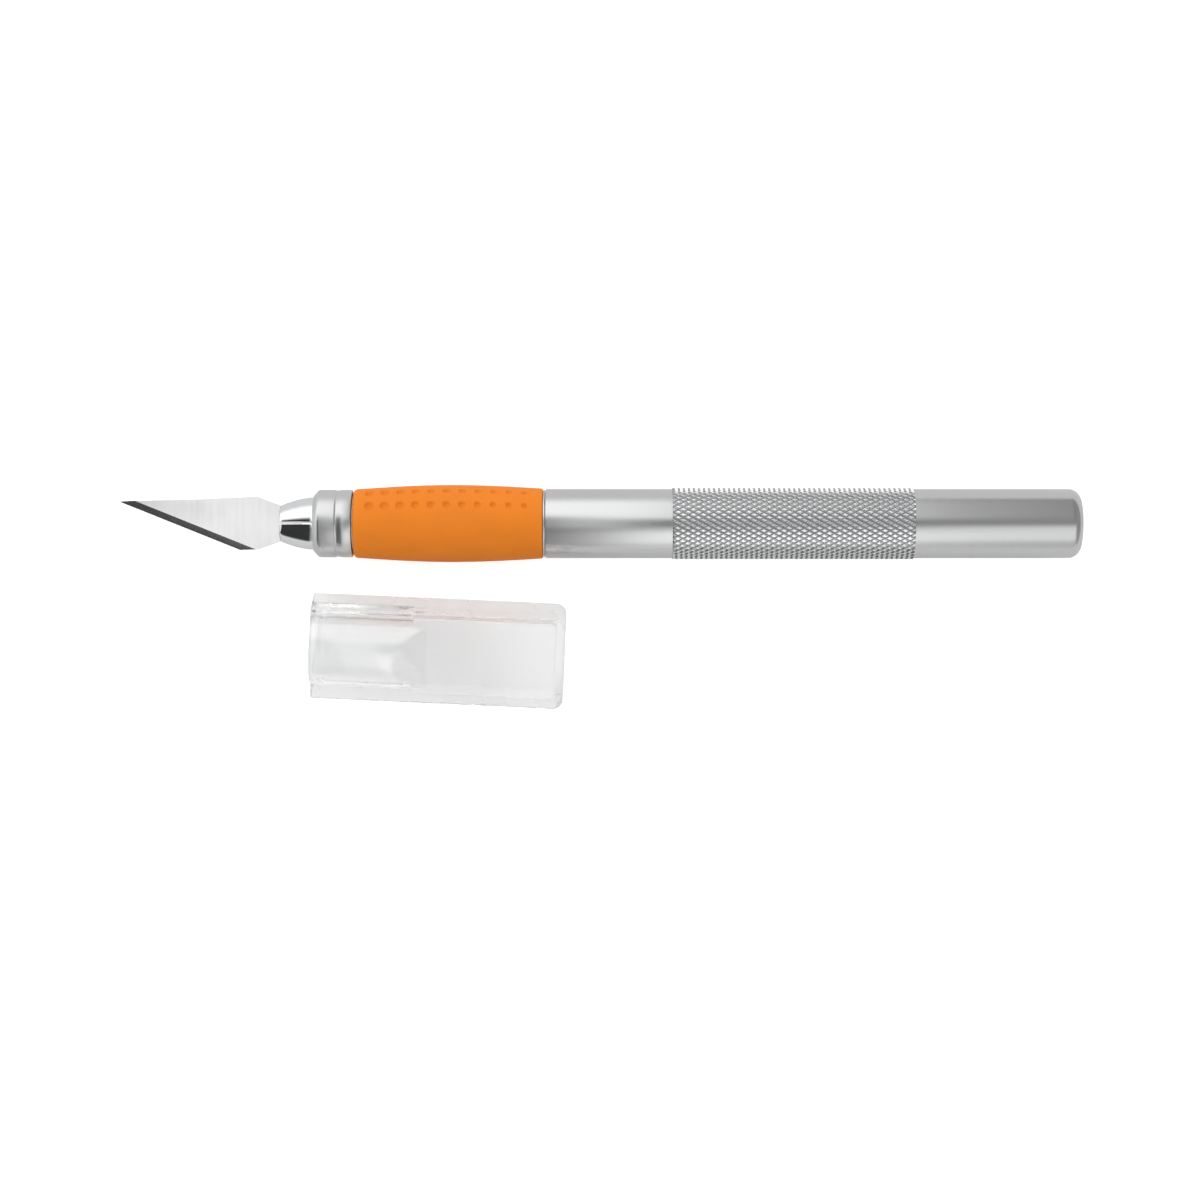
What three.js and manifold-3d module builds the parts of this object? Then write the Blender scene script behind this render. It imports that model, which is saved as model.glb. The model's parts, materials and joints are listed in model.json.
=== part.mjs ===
// A hobby craft knife with its clear blade cap lying beside it, in millimetres, +Z up.
// The knife's axis runs along X, with the blade's tip towards -X. Turning the knurled
// barrel draws a four-jaw collet back into the ferrule's seat, which clamps the blade.
import * as THREE from 'three';
import { mergeVertices } from 'three/addons/utils/BufferGeometryUtils.js';
import Module from 'manifold-3d';

const wasm = await Module();
wasm.setup();

// Lengths along the knife, from the tip to the rear end.
const BLADE_REACH = 27.5; // tip to the front of the jaws
const NOSE_LENGTH = 5.7; // bare part of the collet
const FERRULE_LENGTH = 6.7;
const GRIP_LENGTH = 32.2;
const BARREL_GAP = 0.4; // between grip and barrel, filled by the thrust washer
const BARREL_LENGTH = 90.9;
const KNIFE_LENGTH =
  BLADE_REACH + NOSE_LENGTH + FERRULE_LENGTH + GRIP_LENGTH + BARREL_GAP + BARREL_LENGTH;

// Stations along X, counted from the middle of the knife.
const TIP_X = -KNIFE_LENGTH / 2;
const JAW_X = TIP_X + BLADE_REACH;
const FERRULE_X = JAW_X + NOSE_LENGTH;
const GRIP_X = FERRULE_X + FERRULE_LENGTH;
const GRIP_END_X = GRIP_X + GRIP_LENGTH;
const BARREL_X = GRIP_END_X + BARREL_GAP;
const REAR_X = BARREL_X + BARREL_LENGTH;

// Radii.
const BARREL_R = 5.87;
const KNURL_R = 6.04;
const FERRULE_R = 5.75;
const GRIP_FRONT_R = 5.8;
const GRIP_BELLY_R = 6.55;
const GRIP_REAR_R = 5.95;
const SLEEVE_R = 4.9; // under the grip
const SLEEVE_BORE_R = 3.3;
const JOURNAL_R = 4.7; // inside the barrel
const ROD_R = 2; // M4 thread, left plain
const SHANK_R = 3.05;

// Clearances.
const FIT = 0.1; // between parts that turn or slide on each other
const CUT = 1; // how far a cutting tool stands past what it cuts

// The loosening travel: two turns of the M4 thread.
const THREAD_PITCH = 0.7;
const DRAW_TRAVEL = 2 * THREAD_PITCH;

// Blade.
const BLADE_THICKNESS = 0.56;
const BEVEL_WIDTH = 1.15;
const TANG_LENGTH = 13;
const TANG_HALF = 2.6;

// Clear cap: a flat sheath with a round boss over its mouth half.
const CAP_LENGTH = 43;
const CAP_WIDTH = 16.9;
const CAP_THICKNESS = 6.8;
const CAP_WALL = 1.45;
const CAP_SKIN = 1.2; // over the flat of the blade
const BOSS_R = 6.7;
const RAMP_X = 14.2; // where the boss starts to slope down to the sheath
const RAMP_RUN = 1.64; // length of the slope for each mm of height
const RAMP_SHIFT = 1.9; // how far the slope inside is ahead of the one outside
const CAP_BORE_R = 5.9;
const CAP_BORE_DEPTH = 17.2; // to where the bore widens into the flat cavity
const BEAD_X = 1.95; // snap bead, from the mouth
const BEAD_HEIGHT = 0.2;
const CAP_OFFSET = [-48.9, -20.7]; // middle of the mouth, from the middle of the knife's axis
const CAP_YAW = THREE.MathUtils.degToRad(-2.6);

// The loose cap leans until its lower edge and its boss both touch the surface.
const CAP_HALF_DIAGONAL = Math.hypot(CAP_WIDTH / 2, CAP_THICKNESS / 2);
const CAP_LEAN = Math.asin(BOSS_R / CAP_HALF_DIAGONAL) - Math.atan2(CAP_THICKNESS, CAP_WIDTH);

const FINE = 36; // segments around the outer surfaces
const COARSE = 24; // segments around the inner parts

const finish = (color, roughness, metalness) => ({ color, roughness, metalness });
const FINISHES = {
  bladeSteel: finish('#dcdcde', 0.3, 1),
  chrome: finish('#d8dadd', 0.08, 1),
  satin: finish('#b9bbbc', 0.4, 1),
  aluminium: finish('#b4b6b8', 0.35, 1),
  rubber: finish('#ee8c2a', 0.65, 0),
  steel: finish('#8f9194', 0.4, 1),
  brass: finish('#c2a14d', 0.35, 1),
  nitrile: finish('#1c1c1e', 0.7, 0),
  clear: { color: '#f2f4f5', roughness: 0.08, metalness: 0, transparent: true, opacity: 0.35 },
};

// A closed mesh with shared corners and no triangle squeezed to a line.
function welded(geometry) {
  const bare = geometry.index ? geometry.toNonIndexed() : geometry.clone();
  for (const name of Object.keys(bare.attributes)) {
    if (name !== 'position') bare.deleteAttribute(name);
  }
  const merged = mergeVertices(bare, 1e-5);
  const corners = merged.index.array;
  const kept = [];
  for (let i = 0; i < corners.length; i += 3) {
    const [a, b, c] = corners.slice(i, i + 3);
    if (a !== b && b !== c && c !== a) kept.push(a, b, c);
  }
  merged.setIndex(kept);
  return merged;
}

function toSolid(geometry) {
  const { attributes, index } = welded(geometry);
  const vertProperties = new Float32Array(attributes.position.array);
  const triVerts = new Uint32Array(index.array);
  return new wasm.Manifold(new wasm.Mesh({ numProp: 3, vertProperties, triVerts }));
}

function toGeometry(solid) {
  const mesh = solid.getMesh();
  const geometry = new THREE.BufferGeometry();
  geometry.setAttribute('position', new THREE.BufferAttribute(mesh.vertProperties, 3));
  geometry.setIndex(new THREE.BufferAttribute(mesh.triVerts, 1));
  return geometry;
}

// The geometry with every tool cut out of it.
function cut(geometry, ...tools) {
  const start = toSolid(geometry);
  return toGeometry(tools.reduce((solid, tool) => solid.subtract(toSolid(tool)), start));
}

function join(...geometries) {
  return toGeometry(geometries.map(toSolid).reduce((all, solid) => all.add(solid)));
}

// A profile of [x, r] points turned about the X axis. The outer side comes first, with x
// growing, then any inner side with x falling.
function turned(profile, segments = FINE) {
  const points = [...profile, profile[0]].map(([x, r]) => new THREE.Vector2(r, x));
  return new THREE.LatheGeometry(points, segments).rotateZ(-Math.PI / 2);
}

function ring(x0, x1, inner, outer, segments = COARSE) {
  return turned([[x0, outer], [x1, outer], [x1, inner], [x0, inner]], segments);
}

function rod(x0, x1, radius, segments = COARSE) {
  return turned([[x0, 0], [x0, radius], [x1, radius], [x1, 0]], segments);
}

// A block between two corners.
function block([x0, y0, z0], [x1, y1, z1]) {
  const box = new THREE.BoxGeometry(x1 - x0, y1 - y0, z1 - z0);
  return box.translate((x0 + x1) / 2, (y0 + y1) / 2, (z0 + z1) / 2);
}

// An outline in the XY plane made into a plate of this thickness, centred on z = 0.
function plate(shape, thickness, curveSegments = 6) {
  const options = { depth: thickness, bevelEnabled: false, curveSegments };
  return new THREE.ExtrudeGeometry(shape, options).translate(0, 0, -thickness / 2);
}

// Points on an arc of the [x, r] plane, both ends included.
function arc([x, r], radius, from, to, steps) {
  return Array.from({ length: steps + 1 }, (_, i) => {
    const angle = THREE.MathUtils.degToRad(from + ((to - from) * i) / steps);
    return [x + radius * Math.cos(angle), r + radius * Math.sin(angle)];
  });
}

// ---- Blade ----

const EDGE_START = [TIP_X, 3.74];
const EDGE_END = [TIP_X + 20.6, -4.5];

function bladeOutline() {
  const tangEnd = JAW_X + TANG_LENGTH;
  const shape = new THREE.Shape();
  shape.moveTo(...EDGE_START);
  shape.lineTo(...EDGE_END);
  shape.lineTo(TIP_X + 23.7, -4.4);
  shape.lineTo(JAW_X + 0.2, -3);
  shape.lineTo(JAW_X + 2, -TANG_HALF);
  shape.lineTo(tangEnd - 1.5, -TANG_HALF);
  shape.lineTo(tangEnd, -1.2);
  shape.lineTo(tangEnd, 1.2);
  shape.lineTo(tangEnd - 1.5, TANG_HALF);
  shape.lineTo(JAW_X + 2, TANG_HALF);
  shape.lineTo(JAW_X + 0.2, 3);
  shape.lineTo(TIP_X + 23.5, 4.58);
  shape.lineTo(TIP_X + 13.8, 4.12);
  shape.lineTo(TIP_X + 2.8, 3.88);
  shape.closePath();
  shape.holes.push(tangSlot(tangEnd));
  return shape;
}

function tangSlot(tangEnd) {
  const radius = 0.9;
  const front = tangEnd - 8.5;
  const rear = tangEnd - 3.5;
  const slot = new THREE.Path();
  slot.absarc(front, 0, radius, Math.PI / 2, (3 * Math.PI) / 2);
  slot.absarc(rear, 0, radius, -Math.PI / 2, Math.PI / 2);
  slot.closePath();
  return slot;
}

// The wedge that both ground faces leave, lying along the cutting edge.
function groundWedge() {
  const half = BLADE_THICKNESS / 2;
  const depth = 14;
  const section = new THREE.Shape();
  section.moveTo(0, 0);
  section.lineTo(BEVEL_WIDTH, -half);
  section.lineTo(depth, -half);
  section.lineTo(depth, half);
  section.lineTo(BEVEL_WIDTH, half);
  section.closePath();
  const run = [EDGE_END[0] - EDGE_START[0], EDGE_END[1] - EDGE_START[1]];
  const length = Math.hypot(...run) + 2 * CUT;
  const wedge = new THREE.ExtrudeGeometry(section, { depth: length, bevelEnabled: false });
  const along = new THREE.Vector3(run[0], run[1], 0).normalize();
  const inward = new THREE.Vector3(-along.y, along.x, 0);
  const up = new THREE.Vector3().crossVectors(along, inward);
  const start = new THREE.Vector3(...EDGE_START, 0).addScaledVector(along, -CUT);
  const placed = new THREE.Matrix4().makeBasis(inward, up, along).setPosition(start);
  return wedge.applyMatrix4(placed);
}

function bladeGeometry() {
  const blank = toSolid(plate(bladeOutline(), BLADE_THICKNESS));
  const heel = block([EDGE_END[0], -6, -1], [JAW_X + TANG_LENGTH + CUT, 6, 1]);
  return toGeometry(blank.intersect(toSolid(groundWedge()).add(toSolid(heel))));
}

// ---- Collet, rod and pin: the part that the barrel draws back ----

const SEAT_FRONT_X = FERRULE_X + 0.4;
const SEAT_REAR_X = FERRULE_X + 3.6;
const MOUTH_R = 4.6;
const THROAT_R = 3.2;
const SLIT_END_X = JAW_X + 18.2;
const COLLET_END_X = JAW_X + 26.2;
const ROD_START_X = JAW_X + 18.7;
const PIN_X = COLLET_END_X - 3;
const PIN_R = 0.75;

function colletGeometry() {
  const nose = [
    [JAW_X, 2.8],
    [JAW_X + 0.2, 3.05],
    [JAW_X + 1, 3.47],
    [JAW_X + 2.5, 3.97],
    [JAW_X + 4.2, 4.34],
    [FERRULE_X + 0.1, MOUTH_R - 0.12],
    [SEAT_FRONT_X - 0.1, MOUTH_R - 0.12],
    [SEAT_REAR_X - 0.1, THROAT_R - 0.15],
  ];
  const tail = [[COLLET_END_X, SHANK_R], [COLLET_END_X, 0]];
  const body = turned([[JAW_X, 0], ...nose, ...tail]);
  const bladeSlit = BLADE_THICKNESS / 2 + 0.08;
  const crossSlit = 0.25;
  const reach = MOUTH_R + CUT;
  return cut(
    body,
    block([JAW_X - CUT, -reach, -bladeSlit], [SLIT_END_X, reach, bladeSlit]),
    block([JAW_X - CUT, -crossSlit, -reach], [SLIT_END_X, crossSlit, reach]),
    rod(ROD_START_X - FIT, COLLET_END_X + CUT, ROD_R + FIT),
    pinHole(),
  );
}

function pinCylinder(radius, halfLength) {
  return new THREE.CylinderGeometry(radius, radius, 2 * halfLength, 16).translate(PIN_X, 0, 0);
}

const pinHole = () => pinCylinder(PIN_R + FIT, SLEEVE_R + CUT);

const keyPinGeometry = () => pinCylinder(PIN_R, SLEEVE_R - 0.3);

const NUT_X = BARREL_X + 21.3;
const NUT_LENGTH = 8;
const CLIP_X = NUT_X + NUT_LENGTH + DRAW_TRAVEL + 0.1;
const CLIP_WIDTH = 0.6;
const CLIP_GROOVE_R = 1.5;

function drawRodGeometry() {
  const end = CLIP_X + CLIP_WIDTH + 1.6;
  const profile = [
    [ROD_START_X, 0],
    [ROD_START_X, ROD_R],
    [CLIP_X - FIT, ROD_R],
    [CLIP_X - FIT, CLIP_GROOVE_R],
    [CLIP_X + CLIP_WIDTH + FIT, CLIP_GROOVE_R],
    [CLIP_X + CLIP_WIDTH + FIT, ROD_R],
    [end - 0.4, ROD_R],
    [end, ROD_R - 0.4],
    [end, 0],
  ];
  return cut(turned(profile, COARSE), pinHole());
}

// A ring with a gap on its lower side.
function splitRing(x0, x1, inner, outer, gap) {
  const opening = block([x0 - CUT, -gap / 2, -outer - CUT], [x1 + CUT, gap / 2, 0]);
  return cut(ring(x0, x1, inner, outer), opening);
}

function stopClipGeometry() {
  return splitRing(CLIP_X, CLIP_X + CLIP_WIDTH, CLIP_GROOVE_R + 0.05, 3.6, 2.4);
}

// ---- Front handle: ferrule, sleeve, grip and washer ----

const SPIGOT_R = 4.3;
const SNAP_GROOVE_X = GRIP_X - 2.95;
const SNAP_GROOVE_WIDTH = 1.35;
const SNAP_GROOVE_DEPTH = 0.2;

function ferruleGeometry() {
  const groove = [0, 0.25, 0.5, 0.75, 1].map((t) => [
    SNAP_GROOVE_X + t * SNAP_GROOVE_WIDTH,
    FERRULE_R - SNAP_GROOVE_DEPTH * Math.sin(Math.PI * t),
  ]);
  const rear = GRIP_X - FIT;
  return turned([
    [FERRULE_X, MOUTH_R + 0.12],
    [FERRULE_X + 0.75, FERRULE_R - 0.08],
    [FERRULE_X + 0.95, FERRULE_R],
    ...groove,
    [rear - 0.15, FERRULE_R],
    [rear, FERRULE_R - 0.15],
    [rear, SPIGOT_R + FIT],
    [SEAT_REAR_X + 0.2, SPIGOT_R + FIT],
    [SEAT_REAR_X + 0.2, THROAT_R],
    [SEAT_REAR_X, THROAT_R],
    [SEAT_FRONT_X, MOUTH_R],
    [FERRULE_X, MOUTH_R],
  ]);
}

const FLANGE_X = GRIP_END_X - 1.2;
const FLANGE_R = 5.3;
const O_RING_X = BARREL_X + 4;
const O_RING_R = 0.45; // of its section
const O_RING_CENTRE_R = JOURNAL_R + FIT - 0.05 - O_RING_R;
const SNAP_RING_X = BARREL_X + 11.5;
const SNAP_RING_WIDTH = 0.8;
const SNAP_RING_INNER_R = 4.2;
const SNAP_RING_OUTER_R = 5.05;
const JOURNAL_END_X = SNAP_RING_X + 4;

// Two steps down and up again: a groove in a profile whose outer radius is outer.
function groove(x0, x1, outer, floor) {
  return [[x0, outer], [x0, floor], [x1, floor], [x1, outer]];
}

function coreSleeveGeometry() {
  const oRingFloor = O_RING_CENTRE_R - O_RING_R - 0.05;
  const body = turned([
    [SEAT_REAR_X + 0.35, SPIGOT_R],
    [GRIP_X, SPIGOT_R],
    [GRIP_X, SLEEVE_R],
    [FLANGE_X, SLEEVE_R],
    [FLANGE_X, FLANGE_R],
    [GRIP_END_X, FLANGE_R],
    [GRIP_END_X, JOURNAL_R],
    ...groove(O_RING_X - 0.6, O_RING_X + 0.6, JOURNAL_R, oRingFloor),
    ...groove(
      SNAP_RING_X - FIT,
      SNAP_RING_X + SNAP_RING_WIDTH + FIT,
      JOURNAL_R,
      SNAP_RING_INNER_R - FIT,
    ),
    [JOURNAL_END_X - 0.4, JOURNAL_R],
    [JOURNAL_END_X, JOURNAL_R - 0.4],
    [JOURNAL_END_X, SLEEVE_BORE_R],
    [SEAT_REAR_X + 0.35, SLEEVE_BORE_R],
  ]);
  const slotHalf = PIN_R + FIT;
  const slot = block(
    [PIN_X - slotHalf - DRAW_TRAVEL, -SLEEVE_R - CUT, -slotHalf],
    [PIN_X + slotHalf, SLEEVE_R + CUT, slotHalf],
  );
  return cut(body, slot);
}

// The grip's outline swells smoothly from its front to the belly and back.
function gripRadius(t) {
  const straight = THREE.MathUtils.lerp(GRIP_FRONT_R, GRIP_REAR_R, t);
  const swell = GRIP_BELLY_R - (GRIP_FRONT_R + GRIP_REAR_R) / 2;
  return straight + swell * Math.sin(Math.PI * t);
}

function softGripGeometry() {
  const steps = 14;
  const front = GRIP_X + FIT;
  const rear = GRIP_END_X;
  const outer = Array.from({ length: steps - 1 }, (_, i) => {
    const t = (i + 1) / steps;
    return [THREE.MathUtils.lerp(front, rear, t), gripRadius(t)];
  });
  return turned([
    [front, GRIP_FRONT_R - 0.55],
    [front + 0.17, GRIP_FRONT_R - 0.17],
    [front + 0.55, GRIP_FRONT_R],
    ...outer,
    [rear - 0.25, GRIP_REAR_R],
    [rear, GRIP_REAR_R - 0.25],
    [rear, FLANGE_R + FIT],
    [FLANGE_X - FIT, FLANGE_R + FIT],
    [FLANGE_X - FIT, SLEEVE_R + FIT],
    [front, SLEEVE_R + FIT],
  ]);
}

function thrustWasherGeometry() {
  return ring(GRIP_END_X + 0.07, BARREL_X - 0.07, JOURNAL_R + FIT, BARREL_R - 0.15, FINE);
}

function oRingGeometry() {
  const section = arc([O_RING_X, O_RING_CENTRE_R], O_RING_R, 180, -180, 8);
  return turned(section.slice(0, -1), COARSE);
}

function snapRingGeometry() {
  const end = SNAP_RING_X + SNAP_RING_WIDTH;
  return splitRing(SNAP_RING_X, end, SNAP_RING_INNER_R, SNAP_RING_OUTER_R, 2);
}

// ---- Barrel, drive nut and end plug ----

const KNURL_X = BARREL_X + 21.6;
const KNURL_LENGTH = 40.8;
const REAR_ROUND = 2;
const FRONT_BORE_R = JOURNAL_R + FIT;
const REAR_BORE_R = 5.05;
const PLUG_LENGTH = 6;
const ROUND_CENTRE = [REAR_X - REAR_ROUND, BARREL_R - REAR_ROUND];

// Where the rounded rear corner stands at this radius.
function roundedX(radius) {
  return ROUND_CENTRE[0] + Math.sqrt(REAR_ROUND ** 2 - (radius - ROUND_CENTRE[1]) ** 2);
}

const cornerAngle = (radius) =>
  THREE.MathUtils.radToDeg(Math.asin((radius - ROUND_CENTRE[1]) / REAR_ROUND));

function barrelGeometry() {
  const snapFloor = SNAP_RING_OUTER_R + FIT;
  const snapGroove = groove(
    SNAP_RING_X + SNAP_RING_WIDTH + FIT,
    SNAP_RING_X - FIT,
    FRONT_BORE_R,
    snapFloor,
  );
  return turned([
    [BARREL_X, BARREL_R - 0.2],
    [BARREL_X + 0.2, BARREL_R],
    [KNURL_X - 0.2, BARREL_R],
    [KNURL_X, KNURL_R],
    [KNURL_X + KNURL_LENGTH, KNURL_R],
    [KNURL_X + KNURL_LENGTH + 0.2, BARREL_R],
    ...arc(ROUND_CENTRE, REAR_ROUND, 90, cornerAngle(REAR_BORE_R), 4),
    [NUT_X - FIT, REAR_BORE_R],
    [NUT_X - FIT, FRONT_BORE_R],
    ...snapGroove,
    [BARREL_X, FRONT_BORE_R],
  ]);
}

function driveNutGeometry() {
  return ring(NUT_X, NUT_X + NUT_LENGTH, ROD_R + FIT, REAR_BORE_R - FIT);
}

function endPlugGeometry() {
  const radius = REAR_BORE_R - FIT;
  return turned([
    [REAR_X - PLUG_LENGTH, 0],
    [REAR_X - PLUG_LENGTH, radius - 0.3],
    [REAR_X - PLUG_LENGTH + 0.3, radius],
    [roundedX(radius), radius],
    ...arc(ROUND_CENTRE, REAR_ROUND, cornerAngle(radius), 0, 3).slice(1),
    [REAR_X, 0],
  ]);
}

// ---- Clear cap, drawn with its mouth at x = 0 and its flat sides facing up and down ----

function sheathOutline(halfWidth, x0, x1, mouthRadius, endRadius) {
  const shape = new THREE.Shape();
  const corner = (x, y, radius, from) =>
    shape.absarc(x, y, radius, from, from + Math.PI / 2);
  corner(x0 + mouthRadius, -halfWidth + mouthRadius, mouthRadius, Math.PI);
  corner(x1 - endRadius, -halfWidth + endRadius, endRadius, -Math.PI / 2);
  corner(x1 - endRadius, halfWidth - endRadius, endRadius, 0);
  corner(x0 + mouthRadius, halfWidth - mouthRadius, mouthRadius, Math.PI / 2);
  shape.closePath();
  return shape;
}

// A bar along X that slopes down to a flat at its far end, above and below.
function slopedBar(x0, radius, rampX, halfFlat) {
  const start = rampX + (BOSS_R - radius) * RAMP_RUN;
  const end = rampX + (BOSS_R - halfFlat) * RAMP_RUN;
  const bar = turned([
    [x0, 0],
    [x0, radius],
    [end, radius],
    [end, 0],
  ]);
  const side = [
    [x0, -radius],
    [start, -radius],
    [end, -halfFlat],
    [end, halfFlat],
    [start, radius],
    [x0, radius],
  ];
  const outline = new THREE.Shape(side.map(([x, z]) => new THREE.Vector2(x, z)));
  const wedge = plate(outline, 2 * radius + CUT).rotateX(Math.PI / 2);
  return toGeometry(toSolid(bar).intersect(toSolid(wedge)));
}

function safetyCapGeometry() {
  const halfWidth = CAP_WIDTH / 2;
  const halfFlat = CAP_THICKNESS / 2;
  const outerSheath = plate(sheathOutline(halfWidth, 0, CAP_LENGTH, 0.3, 1.7), CAP_THICKNESS);
  const boss = slopedBar(0, BOSS_R, RAMP_X, halfFlat - 0.3);
  const bore = slopedBar(-CUT, CAP_BORE_R, RAMP_X - RAMP_SHIFT, halfFlat - CAP_SKIN);
  const cavityEnd = CAP_LENGTH - CAP_WALL;
  const cavityStart = CAP_BORE_DEPTH;
  const cavity = plate(
    sheathOutline(halfWidth - 1.5, cavityStart, cavityEnd, 0.5, 1),
    CAP_THICKNESS - 2 * CAP_SKIN,
  );
  const beadHalf = 0.55;
  const bead = turned([
    [BEAD_X - beadHalf, CAP_BORE_R + 0.3],
    [BEAD_X + beadHalf, CAP_BORE_R + 0.3],
    [BEAD_X + beadHalf, CAP_BORE_R - 0.01],
    [BEAD_X + beadHalf / 2, CAP_BORE_R - BEAD_HEIGHT],
    [BEAD_X - beadHalf / 2, CAP_BORE_R - BEAD_HEIGHT],
    [BEAD_X - beadHalf, CAP_BORE_R - 0.01],
  ]);
  return join(cut(join(outerSheath, boss), bore, cavity), bead);
}

// ---- Assembly ----

function part(name, geometry, finishName) {
  const mesh = new THREE.Mesh(geometry, new THREE.MeshStandardMaterial(FINISHES[finishName]));
  mesh.name = name;
  return mesh;
}

function knifeGroup() {
  const knife = new THREE.Group();
  knife.add(
    part('blade', bladeGeometry(), 'bladeSteel'),
    part('collet', colletGeometry(), 'chrome'),
    part('draw_rod', drawRodGeometry(), 'steel'),
    part('key_pin', keyPinGeometry(), 'steel'),
    part('stop_clip', stopClipGeometry(), 'steel'),
    part('ferrule', ferruleGeometry(), 'satin'),
    part('core_sleeve', coreSleeveGeometry(), 'satin'),
    part('soft_grip', softGripGeometry(), 'rubber'),
    part('thrust_washer', thrustWasherGeometry(), 'steel'),
    part('o_ring', oRingGeometry(), 'nitrile'),
    part('snap_ring', snapRingGeometry(), 'steel'),
    part('barrel', barrelGeometry(), 'aluminium'),
    part('drive_nut', driveNutGeometry(), 'brass'),
    part('end_plug', endPlugGeometry(), 'aluminium'),
  );
  knife.position.z = GRIP_BELLY_R;
  return knife;
}

function capGroup() {
  const cap = new THREE.Group();
  const mesh = part('safety_cap', safetyCapGeometry(), 'clear');
  mesh.rotation.x = CAP_LEAN;
  cap.add(mesh);
  cap.rotation.z = CAP_YAW;
  cap.position.set(...CAP_OFFSET, BOSS_R);
  return cap;
}

// The origin is the middle of the whole object's footprint, on the surface it lies on.
function craftKnife() {
  const object = new THREE.Group();
  object.add(knifeGroup(), capGroup());
  object.updateMatrixWorld(true);
  const box = new THREE.Box3().setFromObject(object, true);
  const middle = box.getCenter(new THREE.Vector3());
  object.position.set(-middle.x, -middle.y, -box.min.z);
  return object;
}

export default craftKnife();
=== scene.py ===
"""The looks of a hobby craft knife and its clear blade cap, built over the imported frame."""

import json
import logging
import math
from dataclasses import dataclass
from enum import Enum
from typing import Iterable, Sequence

import bmesh
import bpy
from bmesh.types import BMEdge, BMFace, BMVert, BMesh
from bpy.types import Material, Node, NodeSocket, NodeTree, Object
from mathutils import Matrix, Vector


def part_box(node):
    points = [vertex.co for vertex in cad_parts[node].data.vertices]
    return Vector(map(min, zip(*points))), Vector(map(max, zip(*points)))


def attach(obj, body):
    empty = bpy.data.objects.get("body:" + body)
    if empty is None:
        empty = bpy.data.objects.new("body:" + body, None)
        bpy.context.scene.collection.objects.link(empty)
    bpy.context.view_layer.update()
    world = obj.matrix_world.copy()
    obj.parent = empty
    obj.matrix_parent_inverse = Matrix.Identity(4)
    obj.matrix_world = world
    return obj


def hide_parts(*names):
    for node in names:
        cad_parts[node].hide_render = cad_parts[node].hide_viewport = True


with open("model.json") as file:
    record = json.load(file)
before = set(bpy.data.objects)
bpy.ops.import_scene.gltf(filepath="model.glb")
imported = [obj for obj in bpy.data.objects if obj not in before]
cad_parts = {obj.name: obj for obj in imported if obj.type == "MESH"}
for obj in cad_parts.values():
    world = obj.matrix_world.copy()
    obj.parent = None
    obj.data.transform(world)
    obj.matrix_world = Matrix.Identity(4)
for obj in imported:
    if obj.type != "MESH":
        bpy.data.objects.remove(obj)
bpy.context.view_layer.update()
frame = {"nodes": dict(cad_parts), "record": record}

MM = 0.001
log = logging.getLogger("craft_knife")


class Body(Enum):
    """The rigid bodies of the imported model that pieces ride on."""

    HANDLE = "front_handle"
    BARREL = "barrel_assembly"
    COLLET = "draw_collet"
    BLADE = "blade_body"
    CAP = "cap_body"


class Slot(Enum):
    """The record's material slots."""

    BLADE = "blade_steel"
    CHROME = "chrome"
    STEEL = "plain_steel"
    SATIN = "satin_metal"
    BARREL = "barrel_aluminium"
    RUBBER = "grip_rubber"
    NITRILE = "nitrile"
    BRASS = "brass"
    CLEAR = "clear_plastic"


class Grain(Enum):
    """The way a finish's fine lines run, as stretch factors of its noise."""

    AROUND = (1.0, 0.02, 0.02)
    ACROSS = (1.0, 0.04, 1.0)
    EVEN = (1.0, 1.0, 1.0)


def node_size(node: str) -> tuple[float, float, float]:
    """A turned node's first and last x and its outer radius."""
    low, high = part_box(node)
    return low.x, high.x, (high.z - low.z) / 2


def barrel_axis() -> Vector:
    """A point of the knife's axis, at x = 0."""
    low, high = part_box("barrel")
    return Vector((0, (low.y + high.y) / 2, (low.z + high.z) / 2))


# ---- Node trees ----


@dataclass
class Nodes:
    """A node tree, with short calls that add and join nodes."""

    tree: NodeTree

    def add(self, kind: str, **settings: object) -> Node:
        """Adds a node.

        Args:
            kind: The node's type name, without its ShaderNode prefix.
            settings: Values for the node's own properties.

        Returns:
            The new node.
        """
        node = self.tree.nodes.new("ShaderNode" + kind)
        for key, value in settings.items():
            setattr(node, key, value)
        return node

    def join(self, source: object, target: NodeSocket) -> None:
        """Links a socket to another, or writes a number into it."""
        if isinstance(source, NodeSocket):
            self.tree.links.new(source, target)
        else:
            target.default_value = source

    def math(self, operation: str, first: object, second: object) -> NodeSocket:
        """The result of a Math node on two values, each a socket or a number."""
        node = self.add("Math", operation=operation)
        self.join(first, node.inputs[0])
        self.join(second, node.inputs[1])
        return node.outputs[0]

    def span(
        self,
        value: NodeSocket,
        low: object,
        high: object,
        start: float = 0.3,
        end: float = 0.7,
        smooth: bool = False,
    ) -> NodeSocket:
        """A value remapped from start..end to low..high.

        Args:
            value: The value to remap.
            low: The result at start, a socket or a number.
            high: The result at end.
            start: Where the range starts.
            end: Where it ends.
            smooth: Whether it eases in and out.

        Returns:
            The remapped value.
        """
        node = self.add("MapRange", interpolation_type="SMOOTHSTEP" if smooth else "LINEAR")
        self.join(value, node.inputs["Value"])
        for key, part in (("From Min", start), ("From Max", end), ("To Min", low), ("To Max", high)):
            self.join(part, node.inputs[key])
        return node.outputs["Result"]


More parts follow.
